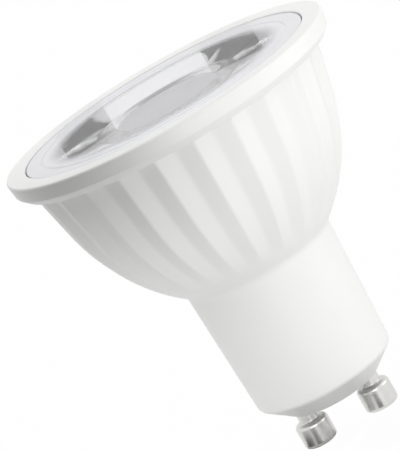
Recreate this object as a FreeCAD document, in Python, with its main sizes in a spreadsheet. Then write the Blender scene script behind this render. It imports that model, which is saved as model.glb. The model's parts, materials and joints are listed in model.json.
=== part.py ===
import FreeCAD, Part
import os
import re
import Sketcher
from FreeCAD import Placement, Rotation, Vector

# A GU10 spotlight lamp, in millimetres. +Z runs along the lamp's axis and out of the lens, X runs
# through both contact pins, and the origin is the centre of the flat seat between the pins.
# A "drop" is a distance below the front face, and a "rise" is a distance above the seat.

doc = FreeCAD.newDocument("gu10_spotlight")
dims = doc.addObject("Spreadsheet::Sheet", "dims")

SIZES = (
    # the moulded housing, outside
    ("lamp_height", 48.95, "seat to front face"),
    ("rim_dia", 50.0, "front rim"),
    ("rim_height", 3.2, "front face to the rim's underside"),
    ("rim_draft", 0.3, "how far the rim's side leans in"),
    ("rim_edge", 0.5, "bevel on the rim's front edge"),
    ("rim_under", 1.0, "bevel on the rim's lower edge"),
    ("bowl_step", 2.4, "rim's edge to the bowl under it, over the ridges"),
    ("shoulder_step", 1.65, "how far the bowl leans in before its curve begins"),
    ("shoulder_drop", 11.0, "front face to where the bowl's curve begins"),
    ("bowl_arc", 27.3, "radius of the bowl's curve"),
    ("neck_top_dia", 22.6, "neck where it leaves the bowl"),
    ("neck_low_dia", 21.1, "neck above the bevel"),
    ("neck_fillet", 1.6, "hollow between bowl and neck"),
    ("bevel_height", 2.9, "height of the base bevel"),
    ("bevel_edge", 0.9, "round between neck and bevel"),
    ("seat_dia", 14.0, "flat seat between the pins"),
    ("flute_count", 24, "flutes round the bowl"),
    ("flute_depth", 0.9, "depth of a flute under the rim"),
    ("flute_margin", 2.86, "end of the flutes above the neck"),
    ("flute_land", 0.35, "half the flat left on a ridge, in degrees"),
    ("flute_phase", 6.1, "turn of the flutes about the axis, in degrees"),
    # the moulded housing, inside
    ("wall", 1.4, "wall of the bowl and neck"),
    ("floor_thick", 2.0, "floor between the pins"),
    ("floor_dia", 14.8, "flat of the floor, inside"),
    ("ledge_drop", 16.0, "front face to the ledge under the cup"),
    ("ledge_width", 1.7, "ledge that carries the cup"),
    ("rail_reach", 1.9, "how far a board rail stands in from the bore"),
    ("rail_rib", 1.0, "rail on each side of the board's slot"),
    ("rail_foot", 1.2, "rail under the board's lower edge"),
    ("rail_top", 19.0, "seat to the top of the rails"),
    # the clear lens
    ("rim_band", 3.05, "front face of the rim round the lens"),
    ("lens_gap", 0.2, "gap between lens and rim"),
    ("lens_recess", 0.15, "lens below the front face"),
    ("flange_thick", 2.0, "lens flange"),
    ("flange_width", 3.25, "lens flange round the cone"),
    ("cone_width", 7.3, "cone of the lens, flange to foot, across"),
    ("cone_drop", 5.05, "cone of the lens, flange to foot, down"),
    ("foot_ring", 3.2, "flat ring at the foot of the lens"),
    ("pocket_crown", 0.6, "rise of the shallow dome in the foot of the lens"),
    # the cup, pad, light board and light source
    ("cup_gap", 0.15, "gap between cup and housing"),
    ("cup_wall", 1.0, "wall of the cup"),
    ("cup_floor", 1.2, "floor of the cup"),
    ("mirror_gap", 0.25, "gap between the lens's cone and the cup's mirror"),
    ("pad_thick", 0.3, "thermal pad"),
    ("pad_margin", 0.6, "pad inside the light board's edge"),
    ("led_board_gap", 0.3, "gap round the light board in the cup"),
    ("led_board_thick", 1.0, "light board"),
    ("led_side", 6.0, "side of the light source"),
    ("led_thick", 0.8, "light source's base"),
    ("phosphor_dia", 4.6, "phosphor disc"),
    ("phosphor_thick", 0.35, "phosphor disc"),
    ("screw_margin", 2.5, "board screw inside the light board's edge"),
    ("screw_dia", 2.0, "board screw's shank"),
    ("screw_head_dia", 3.4, "board screw's head"),
    ("screw_head_thick", 1.2, "board screw's head"),
    ("screw_tail", 1.0, "screw below the cup's floor"),
    ("lead_stub", 0.6, "lead above the light board"),
    ("hole_gap", 0.1, "gap round a shank or lead in its hole"),
    # the contact pins
    ("pin_spacing", 10.0, "between the two pins"),
    ("pin_neck_dia", 3.0, "pin's thin neck"),
    ("pin_neck_length", 2.0, "seat to the pin's head"),
    ("pin_head_dia", 5.0, "pin's head"),
    ("pin_head_length", 3.7, "pin's head"),
    ("pin_edge", 0.5, "bevel on the head's edges"),
    ("pin_gap", 0.15, "gap between pin and floor"),
    ("pin_collar_dia", 4.2, "collar inside the floor"),
    ("pin_collar_thick", 0.8, "collar inside the floor"),
    ("pin_post_dia", 2.0, "solder post above the collar"),
    ("pin_post_length", 1.4, "solder post above the collar"),
    # the driver board and its parts
    ("board_inset", 0.6, "board's edge inside the bore"),
    ("board_thick", 1.2, "driver board"),
    ("board_rise", 5.4, "seat to the board's lower edge"),
    ("board_gap", 0.1, "gap round the board in its slots"),
    ("board_margin", 0.5, "bare board above and below the parts"),
    ("part_gap", 0.4, "between neighbours on the board"),
    ("part_clear", 0.5, "between tall parts and the bore"),
    ("lead_dia", 1.0, "insulated lead"),
    ("lead_lap", 4.0, "lead laid along the board"),
    ("fuse_length", 5.6, "fuse resistor's body"),
    ("fuse_dia", 2.2, "fuse resistor's body"),
    ("fuse_wire", 0.5, "fuse resistor's formed wire"),
    ("fuse_lift", 0.5, "fuse resistor above the board"),
    ("bridge_width", 4.8, "bridge rectifier across the board"),
    ("bridge_length", 4.4, "bridge rectifier up the board"),
    ("bridge_thick", 2.4, "bridge rectifier"),
    ("coil_dia", 7.0, "inductor's end plates"),
    ("coil_core_dia", 3.2, "inductor's spool"),
    ("coil_plate", 1.0, "inductor's end plates"),
    ("coil_inset", 0.5, "winding inside the end plates' edge"),
    ("output_can_dia", 5.5, "output capacitor"),
    ("input_can_dia", 7.0, "input capacitor"),
    ("can_bead", 0.35, "depth of the bead near a can's foot"),
    ("can_foot", 0.9, "foot of a can below its bead"),
    ("can_edge", 0.4, "bevel on a can's top edge"),
    ("film_width", 8.0, "film capacitor across the board"),
    ("film_length", 4.0, "film capacitor up the board"),
    ("film_edge", 0.5, "round on the film capacitor"),
    ("chip_width", 4.0, "driver chip across the board"),
    ("chip_length", 4.9, "driver chip up the board"),
    ("chip_thick", 1.5, "driver chip"),
    ("diode_width", 4.4, "diode across the board"),
    ("diode_length", 2.5, "diode up the board"),
    ("diode_thick", 2.1, "diode"),
    ("leg_width", 0.5, "flat leg of a surface part"),
    ("leg_thick", 0.25, "flat leg of a surface part"),
    ("leg_reach", 1.0, "leg beyond the part's side"),
    ("case_lift", 0.1, "case above the board"),
)

FITS = (
    # what is worked out from the sizes above
    ("rim_low_rad", "rim_dia / 2 - rim_draft"),
    ("bowl_rad", "rim_dia / 2 - bowl_step"),
    ("shoulder_rad", "bowl_rad - shoulder_step"),
    ("bowl_fall", "shoulder_drop - rim_height"),
    ("bowl_run", "sqrt(shoulder_step ^ 2 + bowl_fall ^ 2)"),
    ("arc_across", "shoulder_rad - bowl_arc * bowl_fall / bowl_run"),
    ("arc_drop", "shoulder_drop - bowl_arc * shoulder_step / bowl_run"),
    ("neck_drop", "arc_drop + sqrt(bowl_arc ^ 2 - (neck_top_dia / 2 - arc_across) ^ 2)"),
    ("flute_fade", "neck_drop - flute_margin"),
    ("bore_rad", "neck_low_dia / 2 - wall"),
    ("ledge_rise", "lamp_height - ledge_drop"),
    ("lens_top", "lamp_height - lens_recess"),
    ("lens_seat", "lens_top - flange_thick"),
    ("recess_rad", "rim_dia / 2 - rim_band"),
    ("lens_rad", "recess_rad - lens_gap"),
    ("cone_top_rad", "lens_rad - flange_width"),
    ("foot_rad", "cone_top_rad - cone_width"),
    ("lens_foot", "lens_seat - cone_drop"),
    ("pocket_rad", "foot_rad - foot_ring"),
    ("cone_run", "sqrt(cone_width ^ 2 + cone_drop ^ 2)"),
    ("mirror_out", "mirror_gap * cone_drop / cone_run"),
    ("mirror_down", "mirror_gap * cone_width / cone_run"),
    ("well_rad", "foot_rad + mirror_out"),
    ("cup_top", "lens_seat - mirror_down"),
    ("cup_mouth_rad", "cone_top_rad + mirror_out"),
    ("cup_bend", "lens_foot - mirror_down"),
    ("bowl_top_rad", "bowl_rad - flute_depth - wall"),
    ("ledge_rad", "arc_across + sqrt(bowl_arc ^ 2 - (ledge_drop - arc_drop) ^ 2) - flute_depth / 2 - wall"),
    ("pad_rise", "ledge_rise + cup_floor"),
    ("led_board_rise", "pad_rise + pad_thick"),
    ("led_board_rad", "well_rad - led_board_gap"),
    ("led_rise", "led_board_rise + led_board_thick"),
    ("screw_place", "led_board_rad - screw_margin"),
    ("pin_top", "floor_thick + pin_collar_thick + pin_post_length"),
    ("board_front", "lead_dia / 2"),
    ("board_back", "board_front + board_thick"),
    ("board_mid", "board_front + board_thick / 2"),
    ("board_width", "2 * (bore_rad - board_inset)"),
    ("slot_width", "board_thick + 2 * board_gap"),
    ("parts_rise", "board_rise + board_margin"),
    ("fuse_rise", "parts_rise + fuse_dia / 2"),
    ("bridge_rise", "fuse_rise + fuse_dia / 2 + part_gap + bridge_length / 2"),
    ("coil_rise", "bridge_rise + bridge_length / 2 + part_gap + coil_dia / 2"),
    ("output_rise", "coil_rise + coil_dia / 2 + part_gap + output_can_dia / 2"),
    ("film_rise", "parts_rise + film_length / 2"),
    ("input_rise", "film_rise + film_length / 2 + part_gap + input_can_dia / 2"),
    ("chip_rise", "input_rise + input_can_dia / 2 + part_gap + chip_length / 2"),
    ("diode_rise", "chip_rise + chip_length / 2 + part_gap + diode_length / 2"),
    ("front_top", "output_rise + output_can_dia / 2"),
    ("back_top", "diode_rise + diode_length / 2"),
    ("board_top", "max(front_top; back_top) + board_margin"),
    ("led_lead_place", "min(board_width / 2; led_board_rad - pad_margin) - lead_dia"),
    ("led_lead_foot", "board_top - lead_lap"),
    ("led_lead_top", "led_rise + lead_stub"),
)

for row, (alias, number, note) in enumerate(SIZES, start=1):
    dims.set(f"A{row}", str(number))
    dims.setAlias(f"A{row}", alias)
    dims.set(f"B{row}", note)
for row, (alias, formula) in enumerate(FITS, start=len(SIZES) + 1):
    dims.set(f"A{row}", f"={formula}")
    dims.setAlias(f"A{row}", alias)
doc.recompute()

ALIASES = {entry[0] for entry in SIZES + FITS}
START, END, CENTRE = range(1, 4)
ORIGIN_POINT = (-1, 1)
ACROSS_AXIS, UP_AXIS = range(-1, -3, -1)
TINY = 1e-6
NEAR = 1e-4
FULL_TURN = 360
FRONT_SIDE = Rotation(Vector(1, 0, 0), 90)
BACK_SIDE = Rotation(Vector(1, 0, 0), -90)
UPRIGHT = Rotation()


def bound(expression):
    """An expression of the sheet's aliases, as the document's other objects read it."""
    def named(word):
        return f"dims.{word[0]}" if word[0] in ALIASES else word[0]
    return re.sub(r"[a-z_]+", named, expression)


def number_of(expression):
    """The number that an expression of the sheet's aliases gives now."""
    result = dims.evalExpression(expression)
    return float(getattr(result, "Value", result))


def new_body(name, across="0", deep="0", rise="0", turn=UPRIGHT):
    """A body whose own origin stands at the given place."""
    body = doc.addObject("PartDesign::Body", name)
    body.Label = name
    body.Placement = Placement(Vector(number_of(across), number_of(deep), number_of(rise)), turn)
    for axis, expression in zip("xyz", (across, deep, rise)):
        body.setExpression(f"Placement.Base.{axis}", bound(expression))
    return body


def origin_part(body, role):
    """The body's own plane or axis of that role."""
    return next(part for part in body.Origin.OriginFeatures if part.Role == role)


def new_sketch(body, name, plane, lift="0", turn="0"):
    """An empty sketch on one of the body's planes, lifted off it and turned about its normal."""
    sketch = body.newObject("Sketcher::SketchObject", name)
    sketch.AttachmentSupport = [(origin_part(body, plane), "")]
    sketch.MapMode = "FlatFace"
    spin = Rotation(Vector(0, 0, 1), number_of(turn))
    sketch.AttachmentOffset = Placement(Vector(0, 0, number_of(lift)), spin)
    sketch.setExpression("AttachmentOffset.Base.z", bound(lift))
    if turn != "0":
        sketch.setExpression("AttachmentOffset.Rotation.Angle", bound(turn))
    return sketch


def pin_point(sketch, curve, end, across, up):
    """Ties a point of a curve to two expressions, measured from the sketch's origin."""
    for kind, axis, expression in (("DistanceX", UP_AXIS, across), ("DistanceY", ACROSS_AXIS, up)):
        number = number_of(expression)
        if abs(number) < TINY:
            sketch.addConstraint(Sketcher.Constraint("PointOnObject", curve, end, axis))
        elif number > 0:
            rule = Sketcher.Constraint(kind, *ORIGIN_POINT, curve, end, number)
            sketch.setExpression(f"Constraints[{sketch.addConstraint(rule)}]", bound(expression))
        else:
            rule = Sketcher.Constraint(kind, curve, end, *ORIGIN_POINT, -number)
            sketch.setExpression(f"Constraints[{sketch.addConstraint(rule)}]", bound(f"-({expression})"))


def add_loop(sketch, corners):
    """A closed loop of lines and arcs through corners.

    A corner is a pair of expressions, across and up. A third one is the radius of the arc from it to
    the next corner, above zero where the arc turns left.
    """
    points = [Vector(number_of(across), number_of(up), 0) for across, up, *_ in corners]
    curves = []
    for index, (_, _, *bend) in enumerate(corners):
        first, last = points[index], points[(index + 1) % len(points)]
        if not bend:
            curves.append((sketch.addGeometry(Part.LineSegment(first, last)), START, END))
            continue
        radius = number_of(*bend)
        chord = last - first
        side = Vector(chord.y, -chord.x, 0).normalize() * (1 if radius > 0 else -1)
        sag = abs(radius) - (radius ** 2 - (chord.Length / 2) ** 2) ** 0.5
        arc = Part.Arc(first, (first + last) / 2 + side * sag, last)
        curve = sketch.addGeometry(arc)
        ends = (START, END) if radius > 0 else (END, START)
        curves.append((curve, *ends))
    for index, (across, up, *bend) in enumerate(corners):
        curve, begin, finish = curves[index]
        following, following_begin, _ = curves[(index + 1) % len(curves)]
        sketch.addConstraint(Sketcher.Constraint("Coincident", curve, finish, following, following_begin))
        pin_point(sketch, curve, begin, across, up)
        for radius in bend:
            rule = sketch.addConstraint(Sketcher.Constraint("Radius", curve, abs(number_of(radius))))
            sketch.setExpression(f"Constraints[{rule}]", bound(f"abs({radius})"))


def add_circle(sketch, across, up, dia):
    """A circle tied to its centre and diameter."""
    centre = Vector(number_of(across), number_of(up), 0)
    curve = sketch.addGeometry(Part.Circle(centre, Vector(0, 0, 1), number_of(dia) / 2))
    pin_point(sketch, curve, CENTRE, across, up)
    rule = sketch.addConstraint(Sketcher.Constraint("Diameter", curve, number_of(dia)))
    sketch.setExpression(f"Constraints[{rule}]", bound(dia))


def add_box(sketch, across, up, width, height):
    """A rectangle about a centre."""
    left, right = f"{across} - ({width}) / 2", f"{across} + ({width}) / 2"
    low, high = f"{up} - ({height}) / 2", f"{up} + ({height}) / 2"
    add_loop(sketch, ((left, low), (right, low), (right, high), (left, high)))


def revolve(body, name, corners):
    """Turns an outline of (radius, height) corners about the body's Z axis."""
    sketch = new_sketch(body, f"{name}_outline", "XZ_Plane")
    add_loop(sketch, corners)
    feature = body.newObject("PartDesign::Revolution", name)
    feature.Profile = sketch
    feature.ReferenceAxis = (sketch, ["V_Axis"])
    feature.Angle = FULL_TURN
    doc.recompute()
    return feature


def pad(body, name, sketch, length):
    """Raises a sketch by a length along its normal."""
    feature = body.newObject("PartDesign::Pad", name)
    feature.Profile = sketch
    feature.setExpression("Length", bound(length))
    doc.recompute()
    return feature


def pocket(body, name, sketch, length):
    """Cuts a sketch down into the body by a length, and makes sure that it cut."""
    before = body.Shape.Volume
    feature = body.newObject("PartDesign::Pocket", name)
    feature.Profile = sketch
    feature.setExpression("Length", bound(length))
    doc.recompute()
    if body.Shape.Volume > before - TINY:
        raise RuntimeError(f"{name} cuts nothing")
    return feature


def ring_edges(feature, radius, height):
    """Names of the feature's circular edges of that radius at that height on its axis."""
    names = []
    for index, edge in enumerate(feature.Shape.Edges, start=1):
        if edge.Degenerated or not isinstance(edge.Curve, Part.Circle):
            continue
        off = abs(edge.Curve.Radius - number_of(radius)) + abs(edge.Curve.Center.z - number_of(height))
        if off < NEAR:
            names.append(f"Edge{index}")
    return names


def round_ring(body, name, base, radius, height, size):
    """Rounds the circular edge of that radius and height."""
    feature = body.newObject("PartDesign::Fillet", name)
    feature.Base = (base, ring_edges(base, radius, height))
    feature.setExpression("Radius", bound(size))
    doc.recompute()
    return feature


# The housing is one moulding: a turned wall, its edges rounded, with the flutes cut into the bowl.
housing = new_body("housing")
shell = revolve(housing, "housing_wall", (
    ("0", "0"),
    ("seat_dia / 2", "0"),
    ("neck_low_dia / 2", "bevel_height"),
    ("neck_top_dia / 2", "lamp_height - neck_drop", "bowl_arc"),
    ("shoulder_rad", "lamp_height - shoulder_drop"),
    ("bowl_rad", "lamp_height - rim_height"),
    ("rim_low_rad - rim_under", "lamp_height - rim_height"),
    ("rim_low_rad", "lamp_height - rim_height + rim_under"),
    ("rim_dia / 2", "lamp_height - rim_edge"),
    ("rim_dia / 2 - rim_edge", "lamp_height"),
    ("recess_rad", "lamp_height"),
    ("recess_rad", "lens_seat"),
    ("bowl_top_rad", "lens_seat"),
    ("ledge_rad", "ledge_rise"),
    ("ledge_rad - ledge_width", "ledge_rise"),
    ("bore_rad", "lamp_height - neck_drop"),
    ("bore_rad", "bevel_height + floor_thick"),
    ("floor_dia / 2", "floor_thick"),
    ("0", "floor_thick"),
))
hollow = round_ring(housing, "neck_hollow", shell, "neck_top_dia / 2", "lamp_height - neck_drop",
                    "neck_fillet")
round_ring(housing, "bevel_round", hollow, "neck_low_dia / 2", "bevel_height", "bevel_edge")

# One flute is a V that is lofted down the bowl. It grows shallower on its way and leaves the bowl's
# surface before the neck. A narrow land stays between neighbours, so the ridges stay whole.
FLARE = "1.3"
OUTSIDE = "2"
RUN_OUT = "0.5"
BOWL_CURVE = "arc_across + sqrt(bowl_arc ^ 2 - ({drop} - arc_drop) ^ 2)"


def flute_section(name, drop, radius, depth):
    """A flute's section at a drop: a valley inside the given radius and walls that pass both ridges."""
    half_pitch = "(180 / flute_count - flute_land)"
    valley = f"{radius} - {depth}"
    ridge_side = f"({radius}) * sin({half_pitch}) * {FLARE}"
    ridge_across = f"{valley} + (({radius}) * cos({half_pitch}) - ({valley})) * {FLARE}"
    outside = f"{radius} + {OUTSIDE}"
    sketch = new_sketch(housing, name, "XY_Plane", f"lamp_height - ({drop})", "flute_phase")
    add_loop(sketch, (
        (valley, "0"),
        (ridge_across, f"-({ridge_side})"),
        (outside, f"-({ridge_side})"),
        (outside, ridge_side),
        (ridge_across, ridge_side),
    ))
    return sketch


fade = "flute_depth * (flute_fade - {drop}) / (flute_fade - rim_height)"
middle = "(shoulder_drop + flute_fade) / 2"
beyond = f"(flute_fade + {OUTSIDE})"
sections = [
    flute_section("flute_at_rim", "rim_height", "bowl_rad", "flute_depth"),
    flute_section("flute_at_shoulder", "shoulder_drop", "shoulder_rad",
                  fade.format(drop="shoulder_drop")),
    flute_section("flute_in_curve", middle, BOWL_CURVE.format(drop=middle), fade.format(drop=middle)),
    flute_section("flute_run_out", beyond, f"{BOWL_CURVE.format(drop=beyond)} + {RUN_OUT}", "0"),
]
flute = housing.newObject("PartDesign::SubtractiveLoft", "flute")
flute.Profile = sections[0]
flute.Sections = sections[1:]
flute.Ruled = True
doc.recompute()
flutes = housing.newObject("PartDesign::PolarPattern", "flutes")
flutes.Originals = [flute]
flutes.Axis = (origin_part(housing, "Z_Axis"), [""])
flutes.Angle = FULL_TURN
flutes.setExpression("Occurrences", bound("flute_count"))
housing.Tip = flutes
doc.recompute()

pin_holes = new_sketch(housing, "pin_holes_plan", "XY_Plane", "floor_thick")
for side in ("-", ""):
    add_circle(pin_holes, f"{side}pin_spacing / 2", "0", "pin_neck_dia + 2 * pin_gap")
pocket(housing, "pin_holes", pin_holes, "floor_thick + pin_gap")

# Two rails in the bore hold the driver board by its edges, and their feet carry it.
rails = new_sketch(housing, "rails_plan", "XY_Plane", "board_rise - rail_foot")
slots = new_sketch(housing, "slots_plan", "XY_Plane", "rail_top")
for side in ("-", ""):
    add_box(rails, f"{side}(bore_rad - rail_reach / 2 + wall / 4)", "board_mid", "rail_reach + wall / 2",
            "slot_width + 2 * rail_rib")
    add_box(slots, f"{side}(board_width / 2 + board_gap - rail_reach)", "board_mid", "2 * rail_reach",
            "slot_width")
pad(housing, "rails", rails, "rail_top - board_rise + rail_foot")
pocket(housing, "slots", slots, "rail_top - board_rise")

# The lens is solid: a flat front with a flange in the rim, and a cone behind it whose foot has a
# shallow dome over the light source.
lens = new_body("lens")
revolve(lens, "lens_solid", (
    ("0", "lens_foot + pocket_crown", "-((pocket_rad ^ 2 + pocket_crown ^ 2) / (2 * pocket_crown))"),
    ("pocket_rad", "lens_foot"),
    ("foot_rad", "lens_foot"),
    ("cone_top_rad", "lens_seat"),
    ("lens_rad", "lens_seat"),
    ("lens_rad", "lens_top"),
    ("0", "lens_top"),
))


def drill(sketch):
    """Adds the two screw holes and the two lead holes that the cup, pad and light board share."""
    for side in ("-", ""):
        add_circle(sketch, f"{side}led_lead_place", "0", "lead_dia + 2 * hole_gap")
        add_circle(sketch, "0", f"{side}screw_place", "screw_dia + 2 * hole_gap")


# The spun cup stands on the housing's ledge by its foot flange. Its polished mouth follows the lens's
# cone, and the pad and the light board lie on the floor of its well.
cup = new_body("heat_sink_cup")
revolve(cup, "cup_solid", (
    ("0", "ledge_rise"),
    ("ledge_rad - cup_gap", "ledge_rise"),
    ("ledge_rad - cup_gap", "pad_rise"),
    ("well_rad + cup_wall", "pad_rise"),
    ("well_rad + cup_wall", "cup_bend - cup_wall / 2"),
    ("cup_mouth_rad + cup_wall", "cup_top"),
    ("cup_mouth_rad", "cup_top"),
    ("well_rad", "cup_bend"),
    ("well_rad", "pad_rise"),
    ("0", "pad_rise"),
))
cup_holes = new_sketch(cup, "cup_holes_plan", "XY_Plane", "pad_rise")
drill(cup_holes)
pocket(cup, "cup_holes", cup_holes, "cup_floor + hole_gap")

pad_body = new_body("thermal_pad")
pad_plan = new_sketch(pad_body, "pad_plan", "XY_Plane", "pad_rise")
add_circle(pad_plan, "0", "0", "2 * (led_board_rad - pad_margin)")
drill(pad_plan)
pad(pad_body, "pad_sheet", pad_plan, "pad_thick")

led_board = new_body("led_board")
led_board_plan = new_sketch(led_board, "led_board_plan", "XY_Plane", "led_board_rise")
add_circle(led_board_plan, "0", "0", "2 * led_board_rad")
drill(led_board_plan)
pad(led_board, "led_board_plate", led_board_plan, "led_board_thick")

led_substrate = new_body("led_substrate")
led_plan = new_sketch(led_substrate, "led_plan", "XY_Plane", "led_rise")
add_box(led_plan, "0", "0", "led_side", "led_side")
pad(led_substrate, "led_base", led_plan, "led_thick")

led_phosphor = new_body("led_phosphor")
phosphor_plan = new_sketch(led_phosphor, "phosphor_plan", "XY_Plane", "led_rise + led_thick")
add_circle(phosphor_plan, "0", "0", "phosphor_dia")
pad(led_phosphor, "phosphor_disc", phosphor_plan, "phosphor_thick")

screw = new_body("board_screw", deep="screw_place")
revolve(screw, "screw_solid", (
    ("0", "ledge_rise - screw_tail"),
    ("screw_dia / 2", "ledge_rise - screw_tail"),
    ("screw_dia / 2", "led_rise"),
    ("screw_head_dia / 2", "led_rise"),
    ("screw_head_dia / 2", "led_rise + screw_head_thick / 2"),
    ("screw_head_dia / 2 - screw_head_thick / 2", "led_rise + screw_head_thick"),
    ("0", "led_rise + screw_head_thick"),
))
other_screw = doc.addObject("Part::Mirroring", "other_screw")
other_screw.Source = screw
other_screw.Normal = Vector(0, 1, 0)
board_screws = doc.addObject("Part::Compound", "board_screws")
board_screws.Links = [screw, other_screw]
board_screws.Label = "board_screws"


def contact_pin(name, across):
    """A turned pin: round head below the seat, neck through the floor, collar and solder post inside."""
    body = new_body(name, across=across)
    head_foot = "-pin_neck_length - pin_head_length"
    revolve(body, f"{name}_solid", (
        ("0", head_foot),
        ("pin_head_dia / 2 - pin_edge", head_foot),
        ("pin_head_dia / 2", f"{head_foot} + pin_edge"),
        ("pin_head_dia / 2", "-pin_neck_length - pin_edge"),
        ("pin_head_dia / 2 - pin_edge", "-pin_neck_length"),
        ("pin_neck_dia / 2", "-pin_neck_length"),
        ("pin_neck_dia / 2", "floor_thick"),
        ("pin_collar_dia / 2", "floor_thick"),
        ("pin_collar_dia / 2", "floor_thick + pin_collar_thick"),
        ("pin_post_dia / 2", "floor_thick + pin_collar_thick"),
        ("pin_post_dia / 2", "pin_top"),
        ("0", "pin_top"),
    ))
    return body


def lead(name, across, foot, top):
    """A straight insulated lead between two heights, beside the driver board."""
    wire = doc.addObject("Part::Cylinder", name)
    wire.Label = name
    wire.setExpression("Radius", bound("lead_dia / 2"))
    wire.setExpression("Height", bound(f"{top} - {foot}"))
    wire.setExpression("Placement.Base.x", bound(across))
    wire.setExpression("Placement.Base.z", bound(foot))
    return wire


pins_and_leads = []
for hand, side in (("left", "-"), ("right", "")):
    pins_and_leads += [
        contact_pin(f"contact_pin_{hand}", f"{side}pin_spacing / 2"),
        lead(f"input_lead_{hand}", f"{side}pin_spacing / 2", "pin_top", "board_rise + lead_lap"),
        lead(f"led_lead_{hand}", f"{side}led_lead_place", "led_lead_foot", "led_lead_top"),
    ]

# The driver board stands in the rails. Each part's own Z points away from the board's face, and tall
# parts reach as far as the bore lets them.
driver_board = new_body("driver_board", deep="board_back")
board_plan = new_sketch(driver_board, "board_plan", "XZ_Plane")
add_box(board_plan, "0", "(board_rise + board_top) / 2", "board_width", "board_top - board_rise")
pad(driver_board, "board_plate", board_plan, "board_thick")

FRONT_REACH = "sqrt((bore_rad - part_clear) ^ 2 - ({width} / 2) ^ 2) + board_front"
BACK_REACH = "sqrt((bore_rad - part_clear) ^ 2 - ({width} / 2) ^ 2) - board_back"


def on_front(name, rise):
    """A body on the board's front face."""
    return new_body(name, deep="board_front", rise=rise, turn=FRONT_SIDE)


def on_back(name, rise):
    """A body on the board's back face."""
    return new_body(name, deep="board_back", rise=rise, turn=BACK_SIDE)


def can(body, dia, length):
    """A round capacitor can, with the bead that holds its stopper near the foot."""
    revolve(body, f"{body.Name}_can", (
        ("0", "0"),
        (f"{dia} / 2", "0"),
        (f"{dia} / 2", "can_foot"),
        (f"{dia} / 2 - can_bead", "can_foot + can_bead"),
        (f"{dia} / 2", "can_foot + 2 * can_bead"),
        (f"{dia} / 2", f"{length} - can_edge"),
        (f"{dia} / 2 - can_edge", length),
        ("0", length),
    ))
    return body


def flat_package(body, width, length, thick, rows, leg):
    """A moulded case on flat legs, which run out on both sides in rows."""
    case_plan = new_sketch(body, f"{body.Name}_case_plan", "XY_Plane", "case_lift")
    add_box(case_plan, "0", "0", width, length)
    pad(body, f"{body.Name}_case", case_plan, f"{thick} - case_lift")
    legs_plan = new_sketch(body, f"{body.Name}_legs_plan", "XY_Plane")
    for row in range(rows):
        place = f"{length} * ({2 * row + 1 - rows}) / {2 * rows}"
        add_box(legs_plan, "0", place, f"{width} + 2 * leg_reach", leg)
    pad(body, f"{body.Name}_legs", legs_plan, "leg_thick")
    return body


output_capacitor = can(on_front("output_capacitor", "output_rise"), "output_can_dia",
                       FRONT_REACH.format(width="output_can_dia"))
input_capacitor = can(on_back("input_capacitor", "input_rise"), "input_can_dia",
                      BACK_REACH.format(width="input_can_dia"))
bridge = flat_package(on_front("bridge_rectifier", "bridge_rise"), "bridge_width - 2 * leg_reach",
                      "bridge_length", "bridge_thick", 2, "leg_width")
chip = flat_package(on_back("driver_chip", "chip_rise"), "chip_width", "chip_length", "chip_thick", 4,
                    "leg_width")
diode = flat_package(on_back("freewheel_diode", "diode_rise"), "diode_width", "diode_length",
                     "diode_thick", 1, "3 * leg_width")

film = on_back("film_capacitor", "film_rise")
film_plan = new_sketch(film, "film_plan", "XY_Plane")
add_box(film_plan, "0", "0", "film_width", "film_length")
film_case = pad(film, "film_case", film_plan, BACK_REACH.format(width="film_width"))
film_edges = [f"Edge{index}" for index, edge in enumerate(film_case.Shape.Edges, start=1)
              if abs(edge.tangentAt(edge.FirstParameter).z) > 1 - TINY]
film_round = film.newObject("PartDesign::Fillet", "film_round")
film_round.Base = (film_case, film_edges)
film_round.setExpression("Radius", bound("film_edge"))

# The inductor is a flanged core with its winding between the end plates.
coil_length = FRONT_REACH.format(width="coil_dia")
coil_core = on_front("inductor_core", "coil_rise")
revolve(coil_core, "coil_spool", (
    ("0", "0"),
    ("coil_dia / 2", "0"),
    ("coil_dia / 2", "coil_plate"),
    ("coil_core_dia / 2", "coil_plate"),
    ("coil_core_dia / 2", f"{coil_length} - coil_plate"),
    ("coil_dia / 2", f"{coil_length} - coil_plate"),
    ("coil_dia / 2", coil_length),
    ("0", coil_length),
))
coil_winding = on_front("inductor_winding", "coil_rise")
revolve(coil_winding, "coil_turns", (
    ("coil_core_dia / 2", "coil_plate"),
    ("coil_dia / 2 - coil_inset", "coil_plate"),
    ("coil_dia / 2 - coil_inset", f"{coil_length} - coil_plate"),
    ("coil_core_dia / 2", f"{coil_length} - coil_plate"),
))

# The fuse resistor lies along the board on two formed wires.
fuse = new_body("fuse_resistor", deep="board_front - fuse_lift - fuse_dia / 2", rise="fuse_rise",
                turn=FRONT_SIDE)
fuse_outline = new_sketch(fuse, "fuse_outline", "XZ_Plane")
add_loop(fuse_outline, (
    ("-fuse_length / 2", "0"),
    ("fuse_length / 2", "0"),
    ("fuse_length / 2", "fuse_dia / 2"),
    ("-fuse_length / 2", "fuse_dia / 2"),
))
fuse_case = fuse.newObject("PartDesign::Revolution", "fuse_case")
fuse_case.Profile = fuse_outline
fuse_case.ReferenceAxis = (fuse_outline, ["H_Axis"])
fuse_case.Angle = FULL_TURN
doc.recompute()
fuse_wires = new_sketch(fuse, "fuse_wires_plan", "XZ_Plane")
fuse_height = "(fuse_lift + fuse_dia / 2)"
for side in ("-", ""):
    inner, bend = f"{side}(fuse_length / 2 - fuse_wire)", f"{side}(fuse_length / 2 + fuse_wire)"
    outer = f"{side}(fuse_length / 2 + 2 * fuse_wire)"
    add_loop(fuse_wires, (
        (inner, "-fuse_wire / 2"),
        (bend, "-fuse_wire / 2"),
        (bend, f"-{fuse_height}"),
        (outer, f"-{fuse_height}"),
        (outer, "fuse_wire / 2"),
        (inner, "fuse_wire / 2"),
    ))
fuse_legs = fuse.newObject("PartDesign::Pad", "fuse_legs")
fuse_legs.Profile = fuse_wires
fuse_legs.Midplane = True
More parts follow.
